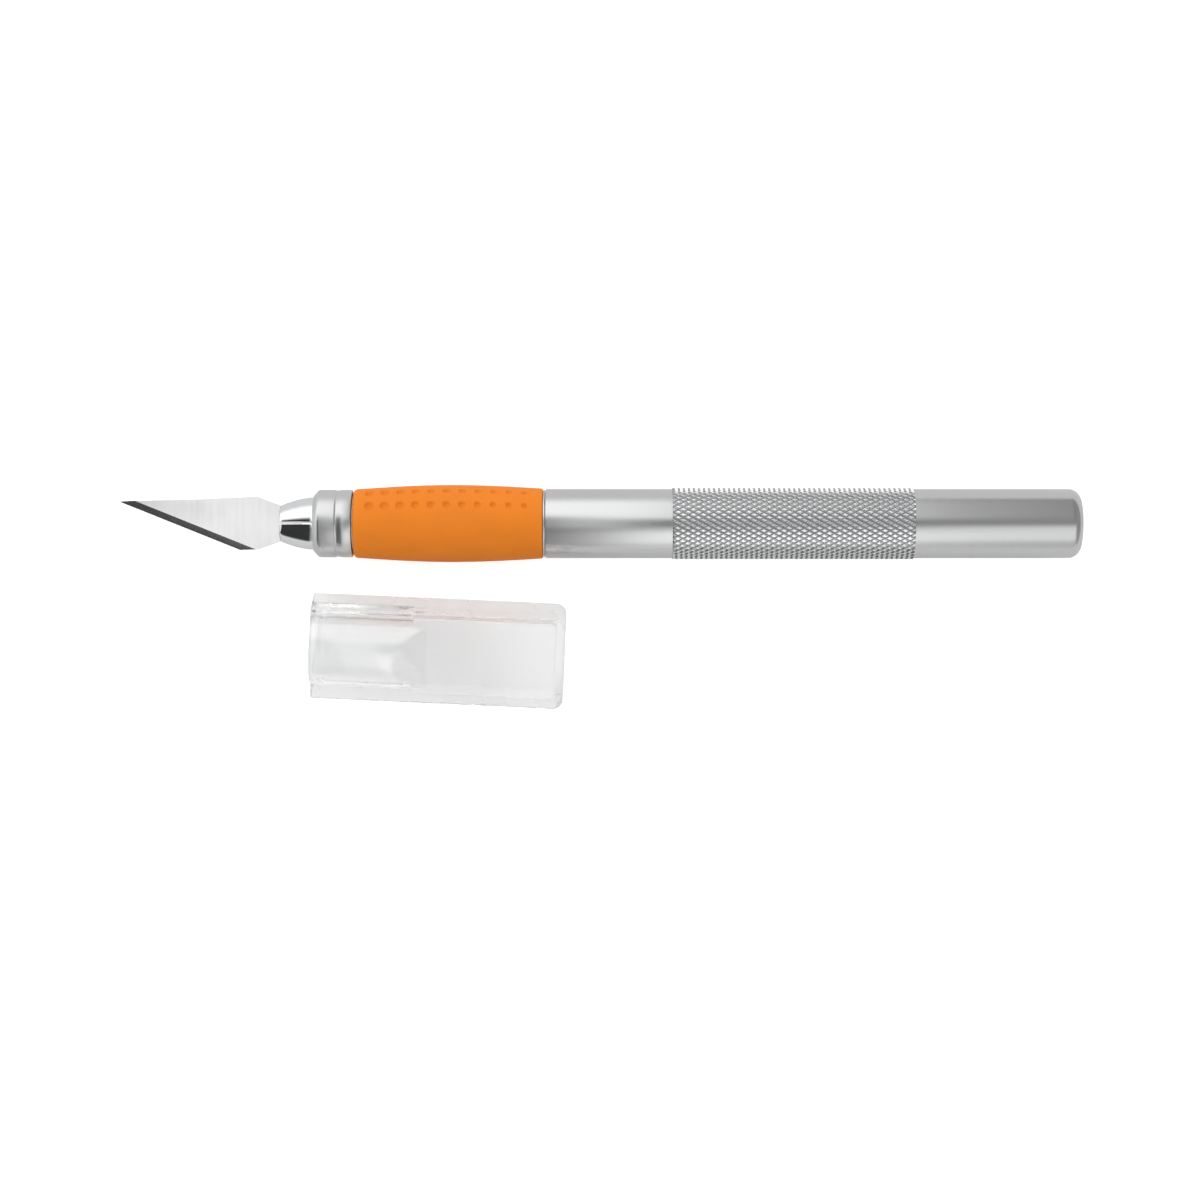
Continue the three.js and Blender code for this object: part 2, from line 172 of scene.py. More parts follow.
class Graph(Nodes):
    """A material's node tree around one Principled shader."""

    def __init__(self, name: str) -> None:
        """Starts a material.

        Args:
            name: The material's name.
        """
        self.material = bpy.data.materials.new(name)
        self.material.use_nodes = True
        super().__init__(self.material.node_tree)
        self.shader = self.tree.nodes["Principled BSDF"]
        self.output = self.tree.nodes["Material Output"]

    def set(self, **values: object) -> None:
        """Sets the shader's own sockets; an underscore in a name stands for a space."""
        for key, value in values.items():
            self.shader.inputs[key.replace("_", " ")].default_value = value

    def place(self, stretch: Sequence[float], centre: Sequence[float] = (0, 0, 0)) -> NodeSocket:
        """The piece's own coordinates, centred and stretched.

        Args:
            stretch: The scale along each axis.
            centre: The point that becomes the origin.

        Returns:
            The vector socket.
        """
        own = self.add("TexCoord")
        mapping = self.add("Mapping", vector_type="TEXTURE")
        mapping.inputs["Location"].default_value = centre
        mapping.inputs["Scale"].default_value = [1 / s for s in stretch]
        self.join(own.outputs["Object"], mapping.inputs["Vector"])
        return mapping.outputs["Vector"]

    def noise(
        self, scale: float, stretch: Sequence[float] = (1, 1, 1), detail: float = 3.0
    ) -> NodeSocket:
        """A noise over the piece.

        Args:
            scale: Features per metre.
            stretch: The scale along each axis.
            detail: How many finer octaves are added.

        Returns:
            The noise's value, from 0 to 1.
        """
        node = self.add("TexNoise")
        node.inputs["Scale"].default_value = scale
        node.inputs["Detail"].default_value = detail
        self.join(self.place(stretch), node.inputs["Vector"])
        return node.outputs["Fac"]

    def tones(self, value: NodeSocket, stops: Sequence[tuple[float, Sequence[float]]]) -> NodeSocket:
        """A colour looked up along a ramp.

        Args:
            value: Where to look, from 0 to 1.
            stops: Each stop's place and colour.

        Returns:
            The colour socket.
        """
        ramp = self.add("ValToRGB")
        elements = ramp.color_ramp.elements
        while len(elements) < len(stops):
            elements.new(1.0)
        for element, (place, colour) in zip(elements, stops):
            element.position = place
            element.color = (*colour, 1)
        self.join(value, ramp.inputs["Fac"])
        return ramp.outputs["Color"]

    def relief(self, height: NodeSocket, strength: float, depth: float) -> None:
        """Adds fine relief to the shader's normal.

        Args:
            height: The height's value, from 0 to 1.
            strength: How much of it shows.
            depth: The relief's depth, in metres.
        """
        bump = self.add("Bump")
        bump.inputs["Strength"].default_value = strength
        bump.inputs["Distance"].default_value = depth
        self.join(height, bump.inputs["Height"])
        self.join(bump.outputs["Normal"], self.shader.inputs["Normal"])


def shade(colour: Sequence[float], factor: float) -> tuple[float, ...]:
    """The colour made darker or lighter by a factor."""
    return tuple(min(1.0, c * factor) for c in colour)


# ---- Finishes ----


@dataclass(frozen=True)
class MetalFinish:
    """A bare or plated metal with fine lines left by the tool that made it."""

    name: str
    colour: tuple[float, float, float]
    roughness: float
    grain: Grain = Grain.AROUND
    lines: float = 4000.0
    spread: float = 0.02
    roughness_spread: float = 0.04
    relief: float = 0.05

    def make(self) -> Material:
        """Builds the material.

        Returns:
            The new material.
        """
        graph = Graph(self.name)
        graph.set(Metallic=1.0, IOR=1.5)
        fine = graph.noise(self.lines, self.grain.value, detail=4.0)
        clouds = graph.noise(120.0, detail=2.0)
        darker = shade(self.colour, 1 - self.spread)
        lighter = shade(self.colour, 1 + self.spread)
        graph.join(graph.tones(fine, [(0.3, darker), (0.7, lighter)]), graph.shader.inputs["Base Color"])
        low = self.roughness - self.roughness_spread
        broad = graph.span(clouds, low, low + self.roughness_spread)
        streaks = graph.span(fine, 0.0, self.roughness_spread)
        graph.join(graph.math("ADD", broad, streaks), graph.shader.inputs["Roughness"])
        if self.relief:
            graph.relief(fine, self.relief, 0.004 * MM)
        return graph.material


@dataclass(frozen=True)
class KnurlFinish:
    """Knurled aluminium, with painted shade in its grooves and crests polished by hands."""

    name: str
    colour: tuple[float, float, float]
    root: float = 5.7 * MM
    crest: float = 6.04 * MM

    def make(self) -> Material:
        """Builds the material.

        Returns:
            The new material.
        """
        graph = Graph(self.name)
        graph.set(Metallic=1.0)
        radial = graph.add("VectorMath", operation="LENGTH")
        graph.join(graph.place((1e-6, 1, 1), barrel_axis()), radial.inputs[0])
        height = graph.span(radial.outputs["Value"], 0.0, 1.0, self.root, self.crest)
        # painted shade: the colour darkens towards the grooves' roots for the shade that falls in them;
        # the lighter crests stand for wear
        groove_shade = shade(self.colour, 0.68)
        ramp = graph.tones(height, [(0.0, groove_shade), (0.55, self.colour), (1.0, shade(self.colour, 1.12))])
        specks = graph.noise(5000.0)
        blend = graph.add("MixRGB", blend_type="MULTIPLY")
        blend.inputs["Fac"].default_value = 0.25
        graph.join(ramp, blend.inputs["Color1"])
        mottle = graph.tones(specks, [(0.35, (0.7, 0.7, 0.7)), (0.65, (1, 1, 1))])
        graph.join(mottle, blend.inputs["Color2"])
        graph.join(blend.outputs["Color"], graph.shader.inputs["Base Color"])
        graph.join(graph.span(height, 0.42, 0.24, 0.0, 1.0), graph.shader.inputs["Roughness"])
        graph.relief(specks, 0.2, 0.01 * MM)
        return graph.material


@dataclass(frozen=True)
class RubberFinish:
    """Moulded rubber with a fine matt grain and slightly uneven colour."""

    name: str
    colour: tuple[float, float, float]
    roughness: float = 0.55
    grain_depth: float = 0.02 * MM

    def make(self) -> Material:
        """Builds the material.

        Returns:
            The new material.
        """
        graph = Graph(self.name)
        graph.set(IOR=1.5)
        graph.shader.inputs["Specular IOR Level"].default_value = 0.2
        clouds = graph.noise(220.0, detail=2.0)
        grain = graph.noise(7000.0, detail=2.0)
        stops = [(0.3, shade(self.colour, 0.975)), (0.7, shade(self.colour, 1.02))]
        graph.join(graph.tones(clouds, stops), graph.shader.inputs["Base Color"])
        spread = graph.span(grain, self.roughness - 0.06, self.roughness + 0.08)
        graph.join(spread, graph.shader.inputs["Roughness"])
        graph.relief(grain, 0.35, self.grain_depth)
        return graph.material


@dataclass(frozen=True)
class ClearFinish:
    """Clear moulded plastic with faint flow marks and a little haze."""

    name: str
    colour: tuple[float, float, float]
    roughness: float = 0.05
    ior: float = 1.13
    clarity: float = 0.85
    gloss: float = 1.0
    ripple: float = 0.02

    def make(self) -> Material:
        """Builds the material; lamps shine through it.

        Returns:
            The new material.
        """
        graph = Graph(self.name)
        graph.set(Transmission_Weight=self.clarity, IOR=self.ior)
        graph.set(Coat_Weight=self.gloss, Coat_Roughness=0.04, Coat_IOR=1.6)
        flow = graph.noise(150.0, (1, 0.4, 0.4), detail=2.0)
        stops = [(0.3, self.colour), (0.7, shade(self.colour, 1.03))]
        graph.join(graph.tones(flow, stops), graph.shader.inputs["Base Color"])
        low, high = self.roughness * 0.5, self.roughness * 1.8
        graph.join(graph.span(flow, low, high), graph.shader.inputs["Roughness"])
        graph.relief(flow, self.ripple, 0.05 * MM)
        ray = graph.add("LightPath")
        open_way = graph.add("BsdfTransparent")
        open_way.inputs["Color"].default_value = (0.985, 0.988, 0.988, 1)
        mixed = graph.add("MixShader")
        graph.join(ray.outputs["Is Shadow Ray"], mixed.inputs[0])
        graph.join(graph.shader.outputs[0], mixed.inputs[1])
        graph.join(open_way.outputs[0], mixed.inputs[2])
        graph.join(mixed.outputs[0], graph.output.inputs["Surface"])
        return graph.material


Finish = MetalFinish | KnurlFinish | RubberFinish | ClearFinish


# ---- Mesh work ----


@dataclass(frozen=True)
class Corner:
    """One corner of a turned outline: its place along the axis, its radius and its rounding."""

    x: float
    r: float
    rounding: float = 0.0


def arc(centre: Corner, radius: float, first: float, last: float, steps: int) -> list[Corner]:
    """The corners of an outline's arc, between two angles measured from the X axis."""
    angles = [first + (last - first) * i / steps for i in range(steps + 1)]
    return [Corner(centre.x + radius * math.cos(a), centre.r + radius * math.sin(a)) for a in angles]


@dataclass(frozen=True)
class Lathe:
    """Turns outlines about an axis that runs along X."""

    axis: Vector
    steps: int = 96
    facets: int = 4

    def turn(self, corners: Sequence[Corner], closed: bool = True) -> BMesh:
        """Spins an outline into a solid and rounds the corners that ask for it.

        Args:
            corners: The outline, the outer side first with x growing.
            closed: Whether the outline joins up with itself, or starts and ends on the axis.

        Returns:
            A closed mesh with its faces outwards.
        """
        bm = bmesh.new()
        verts = [bm.verts.new(self.axis + Vector((c.x, 0, c.r))) for c in corners]
        pairs = list(zip(verts, verts[1:])) + ([(verts[-1], verts[0])] if closed else [])
        edges = [bm.edges.new(pair) for pair in pairs]
        bmesh.ops.spin(
            bm, geom=verts + edges, cent=self.axis, axis=(1, 0, 0), angle=2 * math.pi,
            steps=self.steps, use_merge=True, use_duplicate=False,
        )
        bmesh.ops.remove_doubles(bm, verts=bm.verts, dist=1e-4 * MM)
        bmesh.ops.recalc_face_normals(bm, faces=bm.faces)
        for corner in corners:
            if corner.rounding:
                self.round_ring(bm, corner)
        return bm

    def radius(self, vert: BMVert) -> float:
        """How far a corner of the mesh is from the axis."""
        return math.hypot(vert.co.y - self.axis.y, vert.co.z - self.axis.z)

    def angle(self, vert: BMVert) -> float:
        """A mesh corner's angle about the axis, from the top towards +Y."""
        return math.atan2(vert.co.y - self.axis.y, vert.co.z - self.axis.z)

    def move_out(self, vert: BMVert, radius: float) -> None:
        """Moves a mesh corner straight out or in to a radius."""
        ratio = radius / self.radius(vert)
        vert.co.y = self.axis.y + (vert.co.y - self.axis.y) * ratio
        vert.co.z = self.axis.z + (vert.co.z - self.axis.z) * ratio

    def round_ring(self, bm: BMesh, corner: Corner) -> None:
        """Bevels the ring of edges that one corner of the outline left.

        Args:
            bm: The turned mesh.
            corner: The outline's corner.
        """

        def on_ring(vert: BMVert) -> bool:
            near_x = abs(vert.co.x - self.axis.x - corner.x) < 1e-3 * MM
            return near_x and abs(self.radius(vert) - corner.r) < 1e-3 * MM

        ring = [e for e in bm.edges if all(on_ring(v) for v in e.verts)]
        bevel(bm, ring, corner.rounding, self.facets)


def bevel(bm: BMesh, edges: Sequence[BMEdge], offset: float, segments: int) -> None:
    """Rounds edges of a mesh.

    Args:
        bm: The mesh.
        edges: The edges to round.
        offset: How far the rounding reaches from each edge.
        segments: How many facets it has.
    """
    bmesh.ops.bevel(
        bm, geom=list(edges), offset=offset, offset_type="OFFSET", affect="EDGES",
        segments=segments, profile=0.5, material=-1, clamp_overlap=True,
    )


def sharp_edges(bm: BMesh, degrees: float) -> list[BMEdge]:
    """The edges where two faces meet at more than an angle."""
    limit = math.radians(degrees)
    return [e for e in bm.edges if len(e.link_faces) == 2 and e.calc_face_angle(0.0) > limit]


def finish_shading(bm: BMesh, degrees: float = 32.0) -> None:
    """Smooths the faces, but keeps a crease where they meet at more than an angle."""
    for face in bm.faces:
        face.smooth = True
    for edge in bm.edges:
        edge.smooth = True
    for edge in sharp_edges(bm, degrees):
        edge.smooth = False


def to_object(bm: BMesh, name: str) -> Object:
    """Turns a bmesh into a linked object at the origin.

    Args:
        bm: The mesh, which is freed.
        name: The object's name.

    Returns:
        The new object.
    """
    mesh = bpy.data.meshes.new(name)
    bm.to_mesh(mesh)
    bm.free()
    piece = bpy.data.objects.new(name, mesh)
    bpy.context.scene.collection.objects.link(piece)
    return piece


def combine(base: BMesh, tool: BMesh, operation: str) -> BMesh:
    """Joins two closed meshes or cuts one with the other.

    Args:
        base: The mesh that is kept, which is freed.
        tool: The other mesh, which is freed.
        operation: UNION or DIFFERENCE.

    Returns:
        The result as a new mesh.
    """
    kept, other = to_object(base, "combine_base"), to_object(tool, "combine_tool")
    modifier = kept.modifiers.new("combine", "BOOLEAN")
    modifier.operation, modifier.object, modifier.solver = operation, other, "EXACT"
    graph = bpy.context.evaluated_depsgraph_get()
    result = bmesh.new()
    result.from_mesh(kept.evaluated_get(graph).to_mesh())
    for spare in (kept, other):
        mesh = spare.data
        bpy.data.objects.remove(spare)
        bpy.data.meshes.remove(mesh)
    bmesh.ops.dissolve_degenerate(result, dist=1e-4 * MM, edges=result.edges)
    return result


def slice_off(bm: BMesh, point: Vector, normal: Vector) -> list[BMFace]:
    """Cuts a closed mesh with a plane and takes away the side that the normal points to.

    Args:
        bm: The mesh.
        point: A point of the plane.
        normal: The plane's normal.

    Returns:
        The faces that close the cut.
    """
    cut = bmesh.ops.bisect_plane(
        bm, geom=bm.verts[:] + bm.edges[:] + bm.faces[:], dist=1e-5 * MM,
        plane_co=point, plane_no=normal, clear_outer=True,
    )
    rim = [g for g in cut["geom_cut"] if isinstance(g, BMEdge)]
    made = bmesh.ops.contextual_create(bm, geom=rim)["faces"]
    bmesh.ops.recalc_face_normals(bm, faces=bm.faces)
    return made


def block(low: Vector, high: Vector) -> BMesh:
    """A block between two corners."""
    bm = bmesh.new()
    bmesh.ops.create_cube(bm, size=1.0)
    bmesh.ops.scale(bm, vec=high - low, verts=bm.verts)
    bmesh.ops.translate(bm, vec=(high + low) / 2, verts=bm.verts)
    return bm


def ride(piece: Object, body: Body, slot: Slot, finishes: Iterable[Finish], node: str) -> None:
    """Dresses a finished piece and ties it to the frame.

    Args:
        piece: The piece's object.
        body: The body that it moves with.
        slot: The record's slot that its finish comes from; it is not used.
        finishes: The finishes of its faces, in order.
        node: The CAD node that it stands for.
    """
    for finish in finishes:
        piece.data.materials.append(finish.make())
    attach(piece, body.value)
    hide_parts(node)
    log.info("%s rides on %s: %d faces", piece.name, body.value, len(piece.data.polygons))


# ---- The knife ----


@dataclass
class Blade:
    """A pointed blade with its ground edge, held by a slotted tang."""

    axis: Vector
    tip_rise: float = 3.74 * MM
    edge_run: float = 20.6 * MM
    edge_drop: float = -4.5 * MM
    heel_run: float = 23.7 * MM
    neck_run: float = 27.7 * MM
    neck_half: float = 3.0 * MM
    tang_half: float = 2.6 * MM
    tang_nose: float = 1.5 * MM
    slot_radius: float = 0.9 * MM
    slot_length: float = 5.0 * MM
    slot_inset: float = 3.5 * MM
    heel_drop: float = -4.4 * MM
    neck_slope: float = 1.8 * MM
    spine: tuple[tuple[float, float], ...] = (
        (23.5 * MM, 4.58 * MM), (13.8 * MM, 4.12 * MM), (2.8 * MM, 3.88 * MM)
    )
    bevel_width: float = 1.15 * MM
    edge_land: float = 0.012 * MM
    ease_width: float = 0.05 * MM
    longest_detail: float = 10 * MM

    def build(self) -> Object:
        """Builds the blade.

        Returns:
            The blade's piece.
        """
        low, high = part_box("blade")
        half = (high.z - low.z) / 2
        start = Vector((low.x, self.axis.y, self.axis.z))
        bm = bmesh.new()
        self.wire(bm, self.outline(high.x - low.x), start, half)
        self.wire(bm, self.tang_slot(high.x - low.x), start, half)
        bmesh.ops.triangle_fill(bm, edges=bm.edges, use_beauty=True, normal=(0, 0, -1))
        grown = bmesh.ops.extrude_face_region(bm, geom=bm.faces[:])
        risen = [g for g in grown["geom"] if isinstance(g, BMVert)]
        bmesh.ops.translate(bm, vec=(0, 0, 2 * half), verts=risen)
        bmesh.ops.recalc_face_normals(bm, faces=bm.faces)
        bmesh.ops.dissolve_limit(
            bm, angle_limit=math.radians(1), verts=bm.verts, edges=bm.edges, use_dissolve_boundaries=False
        )
        for side in (1, -1):
            self.grind(bm, start, half, side)
        self.ease(bm)
        finish_shading(bm, 8.0)
        return to_object(bm, "blade_ground")

    def outline(self, length: float) -> list[tuple[float, float]]:
        """The blade's outline from the tip, round by the cutting edge and the tang."""
        tang = length - self.tang_nose
        neck = self.neck_run + self.neck_slope
        lower = [
            (self.neck_run, -self.neck_half),
            (neck, -self.tang_half),
            (tang, -self.tang_half),
            (length, -self.tang_half / 2),
        ]
        upper = [(x, -y) for x, y in reversed(lower)]
        front = [
            (0.0, self.tip_rise), (self.edge_run, self.edge_drop), (self.heel_run, self.heel_drop)
        ]
        return [*front, *lower, *upper, *self.spine]

    def tang_slot(self, length: float) -> list[tuple[float, float]]:
        """The outline of the slot in the tang, with its two round ends."""
        rear, steps = length - self.slot_inset, 8
        points = []
        for centre, first in ((rear, -90), (rear - self.slot_length, 90)):
            for step in range(steps + 1):
                angle = math.radians(first + 180 * step / steps)
                points.append(
                    (centre + self.slot_radius * math.cos(angle), self.slot_radius * math.sin(angle))
                )
        return points

    def wire(
        self, bm: BMesh, points: Sequence[tuple[float, float]], start: Vector, half: float
    ) -> None:
        """Adds a closed loop of edges on the blade's lower face."""
        verts = [bm.verts.new(start + Vector((x, y, -half))) for x, y in points]
        for pair in zip(verts, verts[1:] + verts[:1]):
            bm.edges.new(pair)

    def grind(self, bm: BMesh, start: Vector, half: float, side: int) -> None:
        """Grinds one side of the cutting edge with a slanted plane.

        Args:
            bm: The blade's mesh.
            start: The blade's tip end on the axis.
            half: Half the blade's thickness.
            side: 1 for the upper face, -1 for the lower.
        """
        tip = start + Vector((0, self.tip_rise, 0))
        along = Vector((self.edge_run, self.edge_drop - self.tip_rise, 0)).normalized()
        inward = Vector((-along.y, along.x, 0))
        slope = (inward * self.bevel_width + Vector((0, 0, side * half))).normalized()
        normal = along.cross(slope)
        normal *= math.copysign(1, normal.z * side)
        for face in slice_off(bm, tip + Vector((0, 0, side * self.edge_land)), normal):
            # painted shade: the ground faces take the darker copy of the blade steel
            face.material_index = 1

    def ease(self, bm: BMesh) -> None:
        """Softens the line between each flat and the ground face next to it."""
        line = [
            e for e in bm.edges
            if len(e.link_faces) == 2 and {f.material_index for f in e.link_faces} == {0, 1}
            and e.calc_length() > self.longest_detail and e.calc_face_angle(0.0) < math.radians(30)
        ]
        bevel(bm, line, self.ease_width, 2)


@dataclass
class Collet:
    """The chromed collet with its four jaws."""

    lathe: Lathe
    blade_slit: float = 0.72 * MM
    cross_slit: float = 0.5 * MM
    front_radius: float = 3.05 * MM
    swell_power: float = 1.75
    mouth_radius: float = 4.48 * MM
    shank_radius: float = 3.05 * MM
    seat_length: float = 3.2 * MM
    slit_length: float = 18.2 * MM
    tail_bore: float = 2.1 * MM
    tail_bore_depth: float = 7.6 * MM
    corner: float = 0.13 * MM

    def build(self) -> Object:
        """Builds the collet.

        Returns:
            The collet's piece.
        """
        front, rear, _ = node_size("collet")
        ferrule, _, _ = node_size("ferrule")
        nose = ferrule + 0.1 * MM - front
        swell = self.mouth_radius - self.front_radius
        curve = [
            Corner(front + nose * t, self.mouth_radius - swell * (1 - t) ** self.swell_power)
            for t in (0.08, 0.16, 0.26, 0.36, 0.48, 0.6, 0.74, 0.88, 1.0)
        ]
        seat = ferrule + 0.3 * MM
        body = self.lathe.turn(
            [
                Corner(front, 0),
                Corner(front, self.front_radius - 0.02 * MM, 0.18 * MM),
                *curve,
                Corner(seat, self.mouth_radius),
                Corner(seat + self.seat_length, self.shank_radius),
                Corner(rear, self.shank_radius, 0.3 * MM),
                Corner(rear, self.tail_bore),
                Corner(rear - self.tail_bore_depth, self.tail_bore),
                Corner(rear - self.tail_bore_depth, 0),
            ],
            closed=False,
        )
        for width, height in (
            (2 * self.mouth_radius, self.blade_slit / 2),
            (self.cross_slit / 2, 2 * self.mouth_radius),
        ):
            reach = Vector((0, width, height))
            start = self.lathe.axis + Vector((front - 1 * MM, 0, 0))
            end = self.lathe.axis + Vector((front + self.slit_length, 0, 0))
            body = combine(body, block(start - reach, end + reach), "DIFFERENCE")
        self.round_jaws(body, front, ferrule)
        finish_shading(body, 35.0)
        return to_object(body, "collet_jaws")

    def round_jaws(self, bm: BMesh, front: float, ferrule: float) -> None:
        """Rounds the jaws' outer corners where they show in front of the ferrule."""
        corners = [
            e for e in sharp_edges(bm, 40)
            if all(v.co.x < ferrule - 0.05 * MM for v in e.verts)
            and any(self.lathe.radius(v) > self.front_radius * 0.8 for v in e.verts)
        ]
        bevel(bm, corners, self.corner, 3)


@dataclass
class Ferrule:
    """The satin ring in front of the grip, with the groove that the cap clicks onto."""

    lathe: Lathe
    lip_radius: float = 4.72 * MM
    mouth_radius: float = 4.6 * MM
    throat_radius: float = 3.2 * MM
    spigot_radius: float = 4.4 * MM
    chamfer: float = 0.85 * MM
    spigot_start: float = 3.8 * MM
    throat_start: float = 3.6 * MM
    mouth_depth: float = 0.4 * MM
    groove_centre: float = 2.175 * MM
    groove_half: float = 0.7 * MM
    groove_depth: float = 0.12 * MM

    def build(self) -> Object:
        """Builds the ferrule.

        Returns:
            The ferrule's piece.
        """
        front, rear, radius = node_size("ferrule")
        groove = rear - self.groove_centre
        groove_steps = 16
        dip = [
            Corner(
                groove + self.groove_half * (2 * i / groove_steps - 1),
                radius - self.groove_depth * math.sin(math.pi * (i / groove_steps) ** 0.45) ** 1.5,
            )
            for i in range(groove_steps + 1)
        ]
        bm = self.lathe.turn([
            Corner(front, self.lip_radius, 0.05 * MM),
            Corner(front + self.chamfer, radius, 0.3 * MM),
            *dip,
            Corner(rear, radius - 0.03 * MM, 0.18 * MM),
            Corner(rear, self.spigot_radius),
            Corner(front + self.spigot_start, self.spigot_radius),
            Corner(front + self.spigot_start, self.throat_radius),
            Corner(front + self.throat_start, self.throat_radius),
            Corner(front + self.mouth_depth, self.mouth_radius, 0.1 * MM),
            Corner(front, self.mouth_radius),
        ])
        finish_shading(bm)
        return to_object(bm, "ferrule_ring")


@dataclass
class SoftGrip:
    """The orange rubber sleeve with its belly and two bands of dimples."""

    lathe: Lathe
    front_radius: float = 5.8 * MM
    rear_radius: float = 5.95 * MM
    front_round: float = 0.6 * MM
    rear_round: float = 0.3 * MM
    bore: float = 5.0 * MM
    ring_pitch: float = 0.36 * MM
    first_dimple: float = 2.85 * MM
    dimple_pitch: float = 2.615 * MM
    dimples: int = 11
    front_dimple: float = 0.8 * MM
    rear_dimple: float = 0.5 * MM
    dimple_depth: float = 0.52 * MM
    rows: tuple[float, ...] = (28.0, 56.5, 85.0, 208.0, 236.5, 265.0)

    def radius_at(self, t: float, belly: float) -> float:
        """The grip's radius at a fraction of its length."""
        straight = self.front_radius + (self.rear_radius - self.front_radius) * t
        swell = belly - (self.front_radius + self.rear_radius) / 2
        return straight + swell * math.sin(math.pi * t)

    def build(self) -> Object:
        """Builds the grip.

        Returns:
            The grip's piece.
        """
        front, rear, belly = node_size("soft_grip")
        rings = round((rear - front) / self.ring_pitch)
        swell = [
            Corner(front + (rear - front) * i / rings, self.radius_at(i / rings, belly))
            for i in range(2, rings)
        ]
        bm = self.lathe.turn([
            Corner(front, self.front_radius, self.front_round),
            *swell,
            Corner(rear, self.rear_radius, self.rear_round),
            Corner(rear, self.bore),
            Corner(front, self.bore),
        ])
        for row in self.rows:
            for index in range(self.dimples):
                self.press_dimple(bm, front + self.first_dimple + index * self.dimple_pitch, row, index)
        finish_shading(bm, 60.0)
        return to_object(bm, "grip_sleeve")

    def press_dimple(self, bm: BMesh, x: float, row: float, index: int) -> None:
        """Presses one round dimple into the outer surface.

        Args:
            bm: The grip's mesh.
            x: The dimple's place along the axis.
            row: Its angle from the top towards +Y, in degrees.
            index: Its number from the front, on which its size depends.
        """
        share = index / (self.dimples - 1)
        size = self.front_dimple + (self.rear_dimple - self.front_dimple) * share
        depth = self.dimple_depth * (1 - 0.25 * share)
        reach = size + 0.3 * MM

        def away(vert: BMVert) -> float:
            turn = self.lathe.angle(vert) - math.radians(row)
            turn = (turn + math.pi) % (2 * math.pi) - math.pi
            return math.hypot(vert.co.x - x, self.lathe.radius(vert) * turn)

        def near(face: BMFace) -> bool:
            if abs(face.verts[0].co.x - x) > reach + 0.5 * MM:
                return False
            if self.lathe.radius(face.verts[0]) < self.bore + 0.3 * MM:
                return False
            return any(away(v) < reach for v in face.verts)

        edges = {e for face in bm.faces if near(face) for e in face.edges}
        made = bmesh.ops.subdivide_edges(bm, edges=list(edges), cuts=2, use_grid_fill=True)
        inside = [g for g in made["geom"] if isinstance(g, BMVert)]
        touched = {v for e in edges if e.is_valid for v in e.verts} | set(inside)
        for vert in touched:
            share_out = away(vert) / size
            if share_out < 1:
                self.lathe.move_out(vert, self.lathe.radius(vert) - depth * (1 - share_out**2) ** 0.6)


